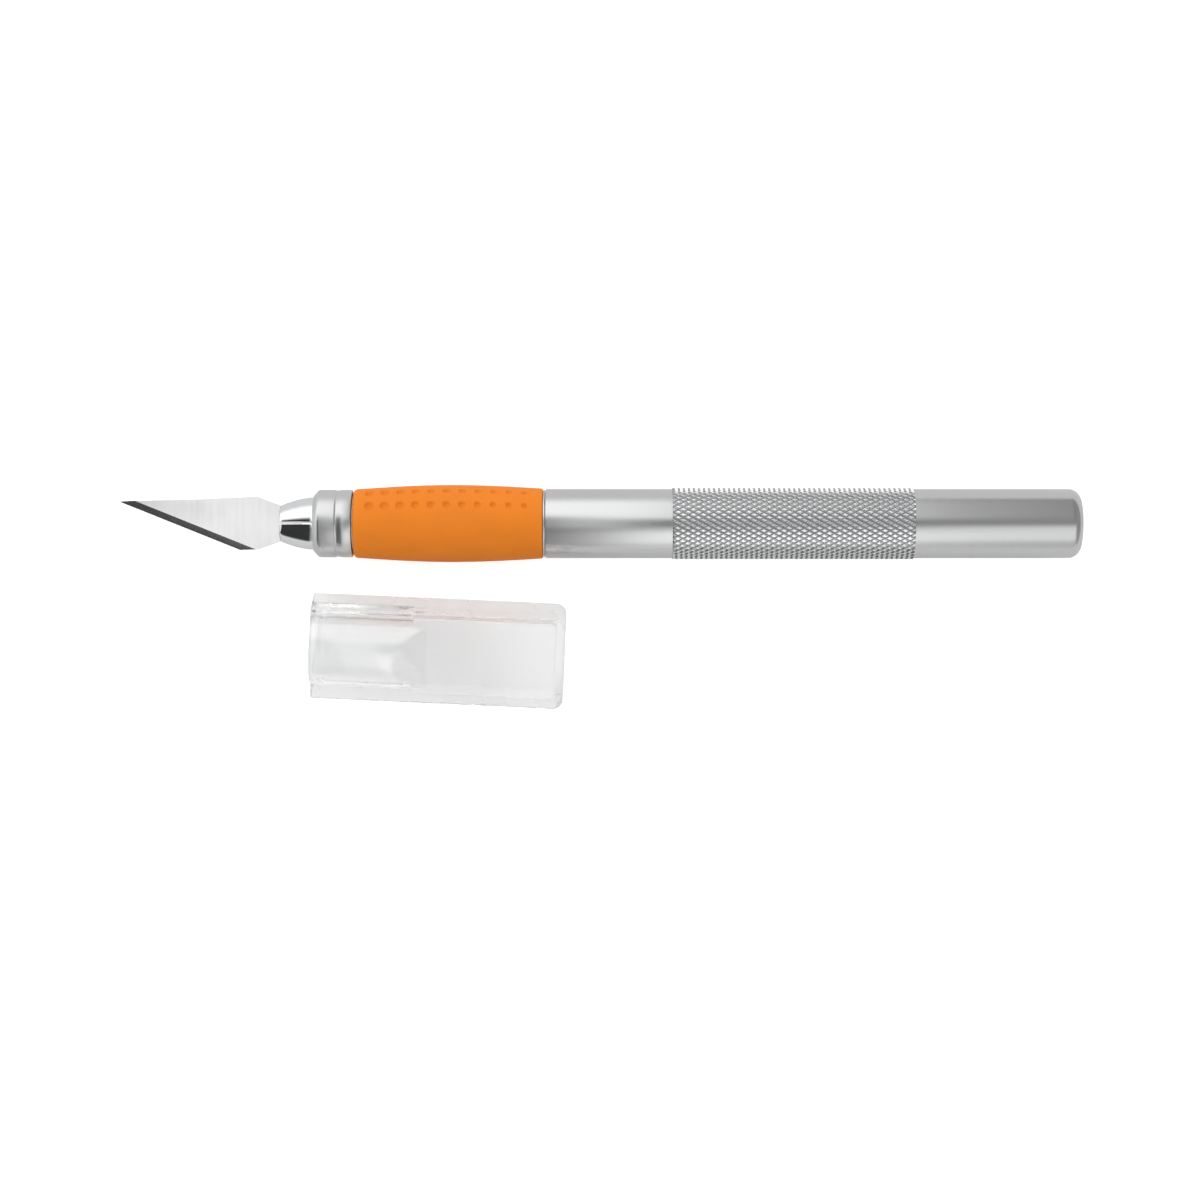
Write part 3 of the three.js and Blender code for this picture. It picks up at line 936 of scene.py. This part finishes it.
@dataclass
class Barrel:
    """The aluminium tube with its diamond-knurled band."""

    lathe: Lathe
    radius: float = 5.87 * MM
    knurl_start: float = 21.6 * MM
    knurl_length: float = 40.8 * MM
    knurl_rows: int = 24
    knurl_root: float = 5.7 * MM
    crest_cut: float = 0.4
    front_bore: float = 4.8 * MM
    rear_bore: float = 5.05 * MM
    bore_step: float = 21.2 * MM
    rear_round: float = 2.0 * MM
    clearance: float = 0.1 * MM

    def build(self) -> Object:
        """Builds the barrel.

        Returns:
            The barrel's piece.
        """
        front, rear, crest = node_size("barrel")
        knurl_end = self.knurl_start + self.knurl_length
        halves = 2 * self.knurl_rows
        band = [
            Corner(front + self.knurl_start + self.knurl_length * i / halves, crest)
            for i in range(halves + 1)
        ]
        edge = 0.06 * MM
        bm = self.lathe.turn([
            Corner(front, self.radius, 0.2 * MM),
            Corner(front + self.knurl_start - edge, self.radius),
            *band,
            Corner(front + knurl_end + edge, self.radius),
            *self.rear_corner(rear),
            Corner(front + self.bore_step, self.rear_bore),
            Corner(front + self.bore_step, self.front_bore),
            *self.ring_groove(),
            Corner(front, self.front_bore),
        ])
        peaks = self.shape_knurl(bm, front + self.knurl_start, crest)
        finish_shading(bm)
        bmesh.ops.bevel(
            bm, geom=peaks, offset=100 * self.crest_cut, offset_type="PERCENT", affect="VERTICES",
            segments=1, profile=0.5, material=-1,
        )
        for face in bm.faces:
            if face.material_index == 1:
                face.smooth = False
        return to_object(bm, "barrel_tube")

    def ring_groove(self) -> list[Corner]:
        """The groove in the bore that the snap ring springs into, from its rear side on."""
        start, end, radius = node_size("snap_ring")
        start, end, floor = start - self.clearance, end + self.clearance, radius + self.clearance
        return [
            Corner(end, self.front_bore),
            Corner(end, floor),
            Corner(start, floor),
            Corner(start, self.front_bore),
        ]

    def rear_corner(self, rear: float) -> list[Corner]:
        """The rounded corner at the rear end, down to the plug's seat."""
        centre_r = self.radius - self.rear_round
        last = math.asin((self.rear_bore - centre_r) / self.rear_round)
        centre = Corner(rear - self.rear_round * math.cos(last), centre_r)
        return arc(centre, self.rear_round, math.pi / 2, last, 8)

    def shape_knurl(self, bm: BMesh, start: float, crest: float) -> list[BMVert]:
        """Cuts crossing grooves into the band, so that it is left with rows of diamonds.

        Args:
            bm: The barrel's mesh.
            start: Where the band starts.
            crest: The band's outer radius.

        Returns:
            The diamonds' peaks.
        """
        pitch = self.knurl_length / (2 * self.knurl_rows)
        end = start + self.knurl_length + 0.01 * MM
        peaks, roots = [], set()
        for vert in bm.verts:
            if start - 0.01 * MM < vert.co.x < end and self.lathe.radius(vert) > self.radius + 0.01 * MM:
                along = round((vert.co.x - start) / pitch)
                around = round(self.lathe.angle(vert) / (2 * math.pi) * self.lathe.steps)
                if (along + around) % 2:
                    peaks.append(vert)
                else:
                    roots.add(vert)
        for face in list(bm.faces):
            low = [v for v in face.verts if v in roots]
            if len(low) == 2 and len(face.verts) == 4 and face.calc_center_median().x < end:
                if all(self.lathe.radius(v) > self.radius + 0.01 * MM for v in face.verts):
                    other, _ = bmesh.utils.face_split(face, low[0], low[1])
                    face.material_index = other.material_index = 1
        height = (crest - self.knurl_root) / (1 - self.crest_cut)
        for vert in roots:
            self.lathe.move_out(vert, self.knurl_root)
        for vert in peaks:
            self.lathe.move_out(vert, self.knurl_root + height)
        return peaks


@dataclass
class SmallTurnings:
    """The thin washer in front of the barrel and the plug that closes it."""

    lathe: Lathe
    barrel_radius: float = Barrel.radius
    rear_round: float = Barrel.rear_round
    washer_bore: float = 4.8 * MM

    def washer(self) -> Object:
        """Builds the thrust washer."""
        front, rear, radius = node_size("thrust_washer")
        bm = self.lathe.turn([
            Corner(front, radius, 0.06 * MM),
            Corner(rear, radius, 0.06 * MM),
            Corner(rear, self.washer_bore),
            Corner(front, self.washer_bore),
        ])
        finish_shading(bm)
        return to_object(bm, "washer_ring")

    def plug(self) -> Object:
        """Builds the end plug, whose edge carries on the barrel's rounded corner."""
        front, rear, radius = node_size("end_plug")
        centre = Corner(rear - self.rear_round, self.barrel_radius - self.rear_round)
        first = math.asin((radius - centre.r) / self.rear_round)
        edge = arc(centre, self.rear_round, first, 0, 6)
        bm = self.lathe.turn(
            [Corner(front, 0), Corner(front, radius, 0.3 * MM), *edge, Corner(rear, 0)], closed=False
        )
        finish_shading(bm)
        return to_object(bm, "plug_end")


BROW_ANGLES = (0.2, 1.4)  # in radians: what is neither smooth nor the slope's far end


@dataclass
class SafetyCap:
    """The clear cap: a flat sheath for the blade with a round boss for the ferrule.

    It is built with its mouth at x = 0 and then laid beside the knife, leaning on its
    boss and its lower edge.
    """

    length: float = 43.0 * MM
    width: float = 16.9 * MM
    thickness: float = 6.8 * MM
    wall: float = 1.45 * MM
    side_wall: float = 1.5 * MM
    skin: float = 1.2 * MM
    boss_sunk: float = 0.3 * MM
    cavity_round: float = 1.0 * MM
    bore: float = 5.9 * MM
    bore_depth: float = 17.2 * MM
    ramp_x: float = 14.2 * MM
    ramp_run: float = 1.64
    ramp_shift: float = 1.9 * MM
    lead_in: float = 0.25 * MM
    bead_x: float = 1.95 * MM
    bead_half: float = 0.6 * MM
    bead_height: float = 0.2 * MM
    end_round: float = 1.7 * MM
    edge_round: float = 0.35 * MM
    brow_round: float = 0.45 * MM
    yaw: float = math.radians(-2.6)

    @property
    def boss_radius(self) -> float:
        """The boss's outer radius, which is also how high its axis lies."""
        return node_size("safety_cap")[2]

    def build(self) -> Object:
        """Builds the cap.

        Returns:
            The cap's piece.
        """
        half = self.thickness / 2
        boss = self.sloped(self.boss_outline(), 0.0, half - self.boss_sunk)
        bore = self.sloped(self.bore_outline(), self.ramp_shift, half - self.skin)
        body = combine(self.sheath(), boss, "UNION")
        body = combine(body, bore, "DIFFERENCE")
        body = combine(body, self.cavity(), "DIFFERENCE")
        self.lay_down(body)
        bmesh.ops.recalc_face_normals(body, faces=body.faces)
        finish_shading(body, 12.0)
        return to_object(body, "cap_clear")

    def rounded_plate(self, low: Vector, high: Vector, corner: float, edge: float) -> BMesh:
        """A plate with round corners at its far end and all its edges softened.

        Args:
            low: The plate's lowest corner.
            high: Its highest corner.
            corner: The radius of the far end's upright corners.
            edge: The radius of every other edge.

        Returns:
            The plate's mesh.
        """
        bm = block(low, high)
        upright = [
            e for e in bm.edges
            if abs(e.verts[0].co.z - e.verts[1].co.z) > 1 * MM and e.verts[0].co.x > (low.x + high.x) / 2
        ]
        bevel(bm, upright, corner, 6)
        bmesh.ops.recalc_face_normals(bm, faces=bm.faces)
        bevel(bm, sharp_edges(bm, 50), edge, 3)
        return bm

    def sheath(self) -> BMesh:
        """The flat outer box."""
        half = Vector((0, self.width / 2, self.thickness / 2))
        end = Vector((self.length, 0, 0))
        bm = self.rounded_plate(-half, end + half, self.end_round, self.edge_round)
        for face in bm.faces:
            if abs(face.normal.z) < 0.5 and face.calc_center_median().x > self.edge_round:
                face.material_index = 1
        return bm

    def cavity(self) -> BMesh:
        """The flat space that the blade goes into."""
        half = Vector((0, self.width / 2 - self.side_wall, self.thickness / 2 - self.skin))
        start = Vector((self.bore_depth, 0, 0))
        end = Vector((self.length - self.wall, 0, 0))
        return self.rounded_plate(start - half, end + half, self.cavity_round, self.edge_round)

    def ramp_end(self, shift: float, half_flat: float) -> float:
        """Where a slope that starts on the boss comes down to a height."""
        return self.ramp_x - shift + (self.boss_radius - half_flat) * self.ramp_run

    def sloped(self, outline: Sequence[Corner], shift: float, half_flat: float) -> BMesh:
        """Turns an outline and slopes its far end, above and below.

        Args:
            outline: The outline to turn, from the mouth on.
            shift: How far the slope is ahead of the one outside.
            half_flat: Half the height that the slope comes down to.

        Returns:
            The closed mesh.
        """
        bm = Lathe(Vector((0, 0, 0)), 96).turn(outline, closed=False)
        end = self.ramp_end(shift, half_flat)
        for side in (1, -1):
            point = Vector((end, 0, side * half_flat))
            slope = slice_off(bm, point, Vector((1, 0, side * self.ramp_run)))
            brow = {
                e for face in slope for e in face.edges
                if BROW_ANGLES[0] < e.calc_face_angle(0.0) < BROW_ANGLES[1]
            }
            bevel(bm, sorted(brow, key=lambda e: e.index), self.brow_round, 4)
        return bm

    def boss_outline(self) -> list[Corner]:
        """The boss's outline, from the mouth to its far end."""
        end, radius = self.ramp_end(0.0, self.thickness / 2 - self.boss_sunk), self.boss_radius
        return [Corner(0, 0), Corner(0, radius, self.lead_in), Corner(end, radius), Corner(end, 0)]

    def bore_outline(self) -> list[Corner]:
        """The outline of the bore, with the waist that leaves the snap bead."""
        end = self.ramp_end(self.ramp_shift, self.thickness / 2 - self.skin)
        steps = 8
        waist = [
            Corner(
                self.bead_x + self.bead_half * (2 * i / steps - 1),
                self.bore - self.bead_height * math.sin(math.pi * i / steps),
            )
            for i in range(steps + 1)
        ]
        return [
            Corner(-1 * MM, 0),
            Corner(-1 * MM, self.bore + self.lead_in),
            Corner(0, self.bore + self.lead_in),
            Corner(0.3 * MM, self.bore),
            *waist,
            Corner(end, self.bore),
            Corner(end, 0),
        ]

    def lay_down(self, bm: BMesh) -> None:
        """Leans, turns and moves the cap to where its CAD solid lies.

        Args:
            bm: The cap's mesh.
        """
        low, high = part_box("safety_cap")
        lean = math.asin(self.boss_radius / math.hypot(self.width / 2, self.thickness / 2))
        lean -= math.atan2(self.thickness, self.width)
        turn = Matrix.Rotation(self.yaw, 4, "Z") @ Matrix.Rotation(lean, 4, "X")
        bmesh.ops.transform(bm, matrix=turn, verts=bm.verts)
        found_low = Vector([min(v.co[i] for v in bm.verts) for i in range(3)])
        found_high = Vector([max(v.co[i] for v in bm.verts) for i in range(3)])
        shift = (low + high) / 2 - (found_low + found_high) / 2
        bmesh.ops.translate(bm, vec=shift, verts=bm.verts)


# ---- Finishes of this object ----


GROUND_STEEL = MetalFinish("ground_steel", (0.76, 0.755, 0.765), 0.15, Grain.ACROSS, 2600.0, 0.02)
# painted shade: the ground bevel is the blade's own steel given a far darker colour, which stands for the
# shade it shows
BEVEL_PAINTED_SHADE = MetalFinish("bevel_painted_shade", (0.33, 0.33, 0.34), 0.26, Grain.ACROSS, 5000.0, 0.08)
CHROME = MetalFinish("polished_chrome", (0.7, 0.71, 0.72), 0.07, Grain.EVEN, 900.0, 0.02, 0.03, 0.03)
SATIN_RING = MetalFinish("satin_ring", (0.57, 0.573, 0.576), 0.3, lines=3200.0, relief=0.02)
BRIGHT_WASHER = MetalFinish("bright_washer", (0.7, 0.7, 0.71), 0.25)
SATIN_TUBE = MetalFinish("satin_tube", (0.56, 0.563, 0.566), 0.23, Grain.AROUND, 3600.0, 0.01, 0.012, 0.0)
KNURLED_BAND = KnurlFinish("knurled_band", (0.8, 0.805, 0.81))
FACED_END = MetalFinish("faced_end", (0.55, 0.553, 0.556), 0.3, Grain.EVEN, 2600.0, 0.05)
ORANGE_RUBBER = RubberFinish("orange_rubber", (0.81, 0.22, 0.014), 0.6)
CLEAR_WALLS = ClearFinish("clear_plastic_shell", (0.932, 0.935, 0.937))
DULL_SIDES = ClearFinish("dull_clear_sides", (0.985, 0.985, 0.985), 0.3, 1.08, gloss=0.0)
INNER_FINISHES = {
    Slot.STEEL: MetalFinish("turned_steel", (0.56, 0.57, 0.58), 0.36),
    Slot.SATIN: MetalFinish("sleeve_metal", (0.7, 0.71, 0.72), 0.4),
    Slot.BRASS: MetalFinish("turned_brass", (0.78, 0.6, 0.28), 0.34),
    Slot.NITRILE: RubberFinish("black_nitrile", (0.02, 0.02, 0.021), 0.5),
}


def dress_inner_nodes(replaced: Iterable[str]) -> None:
    """Gives every CAD node that stays its own finish, by the record's slots.

    Args:
        replaced: The nodes that a finer piece stands for.
    """
    slots = {s["node"]: s["material_slot"] for s in frame["record"]["subparts"]}
    materials = {slot.value: finish.make() for slot, finish in INNER_FINISHES.items()}
    for name, node in frame["nodes"].items():
        if slots[name] in materials and name not in replaced:
            for place in node.material_slots:
                place.material = materials[slots[name]]
            log.info("%s keeps its CAD solid, in %s", name, materials[slots[name]].name)


# ---- The studio ----


@dataclass
class Studio:
    """A white table under a large soft sky, seen straight from above.

    dome is the sky's brightness, mirrored its brightness in the metal, table_glow what the
    table adds by itself, seen_through how much of that shows through the clear cap, and
    lean how much more of the light comes from the far left.
    """

    axis: Vector
    view_width: float = 204.0 * MM
    camera_x: float = 0.085 * MM
    camera_height: float = 544.0 * MM
    sensor: float = 36.0
    floor_size: float = 3.0
    axis_above_middle: float = 13.0 * MM
    dome: float = 1.0
    mirrored: float = 1.12
    table_glow: float = 0.58
    seen_through: float = 0.3
    lean: float = 0.45

    def floor(self) -> None:
        """Lays the pale floor."""
        bm = bmesh.new()
        bmesh.ops.create_grid(bm, x_segments=2, y_segments=2, size=self.floor_size / 2)
        bmesh.ops.translate(bm, vec=(0, 0, -0.02 * MM), verts=bm.verts)
        plane = to_object(bm, "floor")
        graph = Graph("white_table")
        tones = [(0.3, (0.86, 0.86, 0.86)), (0.7, (0.87, 0.87, 0.87))]
        graph.join(graph.tones(graph.noise(3.0), tones), graph.shader.inputs["Base Color"])
        graph.set(Roughness=0.9, Emission_Color=(1, 1, 1, 1))
        rays = graph.add("LightPath").outputs
        through = graph.math("MULTIPLY", rays["Is Transmission Ray"], self.seen_through)
        seen = graph.math("MAXIMUM", rays["Is Camera Ray"], through)
        glow = graph.math("MULTIPLY", seen, self.table_glow)
        graph.join(glow, graph.shader.inputs["Emission Strength"])
        plane.data.materials.append(graph.material)

    def camera(self) -> None:
        """Hangs the camera over the table."""
        data = bpy.data.cameras.new("camera")
        data.sensor_width = self.sensor
        data.lens = self.sensor * self.camera_height / self.view_width
        data.clip_start, data.clip_end = 0.01, 20
        camera = bpy.data.objects.new("camera", data)
        shift = Vector((self.camera_x, -self.axis_above_middle, self.camera_height))
        camera.location = self.axis + shift
        bpy.context.scene.collection.objects.link(camera)
        bpy.context.scene.camera = camera

    def sky(self) -> None:
        """Makes the soft sky: even for the white table, with panels and flags for the metal."""
        world = bpy.data.worlds.new("soft_sky")
        bpy.context.scene.world = world
        world.use_nodes = True
        nodes = Nodes(world.node_tree)
        split = nodes.add("SeparateXYZ")
        nodes.join(nodes.add("TexCoord").outputs["Generated"], split.inputs[0])
        along, side, up = split.outputs
        turn = nodes.math("ARCTAN2", side, up)
        level: object = self.mirrored
        for panel in PANELS:
            level = panel.lay_over(nodes, along, turn, level)
        leant = nodes.math("SUBTRACT", nodes.math("MULTIPLY", side, 2.0), along)
        plain = nodes.span(leant, self.dome * (1 - self.lean), self.dome * (1 + self.lean), -2.0, 2.0)
        mirrored = nodes.add("LightPath").outputs["Is Glossy Ray"]
        background = nodes.tree.nodes["Background"]
        nodes.join(nodes.span(mirrored, plain, level, 0.0, 1.0), background.inputs["Strength"])
        background.inputs["Color"].default_value = (1, 1, 1, 1)
        bpy.context.scene.view_settings.view_transform = "Standard"


@dataclass(frozen=True)
class Panel:
    """A soft-edged panel or flag of the sky, as the knife's bright and dark stripes show it.

    Its place is given by the X part of the direction and by the turn about the X axis, in
    degrees from straight up towards +Y.
    """

    along: tuple[float, float]
    turn: tuple[float, float]
    level: float
    along_blur: float = 0.03
    turn_blur: float = 10.0

    def lay_over(self, nodes: Nodes, along: NodeSocket, turn: NodeSocket, under: object) -> NodeSocket:
        """Lays the panel over what is already there.

        Args:
            nodes: The world's nodes.
            along: The X part of the direction.
            turn: The turn about the X axis, in radians.
            under: The brightness that the panel covers.

        Returns:
            The brightness with the panel in it.
        """
        edges = (
            (along, self.along, self.along_blur),
            (turn, [math.radians(a) for a in self.turn], math.radians(self.turn_blur)),
        )
        cover = None
        for value, (low, high), blur in edges:
            away = nodes.math("ABSOLUTE", nodes.math("SUBTRACT", value, (low + high) / 2), 0.0)
            half = (high - low) / 2
            part = nodes.span(away, 1.0, 0.0, half - blur, half + blur, smooth=True)
            cover = part if cover is None else nodes.math("MULTIPLY", cover, part)
        return nodes.span(cover, under, self.level, 0.0, 1.0)


PANELS = (
    Panel((-1.5, 0.07), (14.0, 78.0), 1.6),
    Panel((-0.055, 0.08), (-17.0, 11.0), 0.05),
    Panel((0.075, 0.9), (-9.0, 105.0), 0.34),
    Panel((-0.08, 0.08), (-72.0, -30.0), 1.75),
    Panel((0.075, 0.9), (-105.0, -62.0), 0.7),
    Panel((-0.3, -0.07), (-88.0, -14.0), 0.5),
    Panel((-0.18, -0.095), (-12.0, 12.0), 1.28),
    Panel((-0.8, -0.2), (-90.0, 24.0), 0.045),
    Panel((0.62, 1.5), (-200.0, 200.0), 0.4, 0.1),
)


def main() -> None:
    logging.basicConfig(level=logging.INFO, format="%(name)s: %(message)s")
    axis = barrel_axis()
    lathe = Lathe(axis)
    small = SmallTurnings(lathe)
    rows = (
        (Blade(axis).build, Body.BLADE, Slot.BLADE, (GROUND_STEEL, BEVEL_PAINTED_SHADE), "blade"),
        (Collet(lathe).build, Body.COLLET, Slot.CHROME, (CHROME,), "collet"),
        (Ferrule(lathe).build, Body.HANDLE, Slot.SATIN, (SATIN_RING,), "ferrule"),
        (SoftGrip(Lathe(axis, 120)).build, Body.HANDLE, Slot.RUBBER, (ORANGE_RUBBER,), "soft_grip"),
        (small.washer, Body.HANDLE, Slot.STEEL, (BRIGHT_WASHER,), "thrust_washer"),
        (Barrel(Lathe(axis, 80)).build, Body.BARREL, Slot.BARREL, (SATIN_TUBE, KNURLED_BAND), "barrel"),
        (small.plug, Body.BARREL, Slot.BARREL, (FACED_END,), "end_plug"),
        (SafetyCap().build, Body.CAP, Slot.CLEAR, (CLEAR_WALLS, DULL_SIDES), "safety_cap"),
    )
    for build, *row in rows:
        ride(build(), *row)
    dress_inner_nodes([row[-1] for row in rows])

    studio = Studio(axis)
    studio.floor()
    studio.camera()
    studio.sky()


if __name__ == "__main__":
    main()
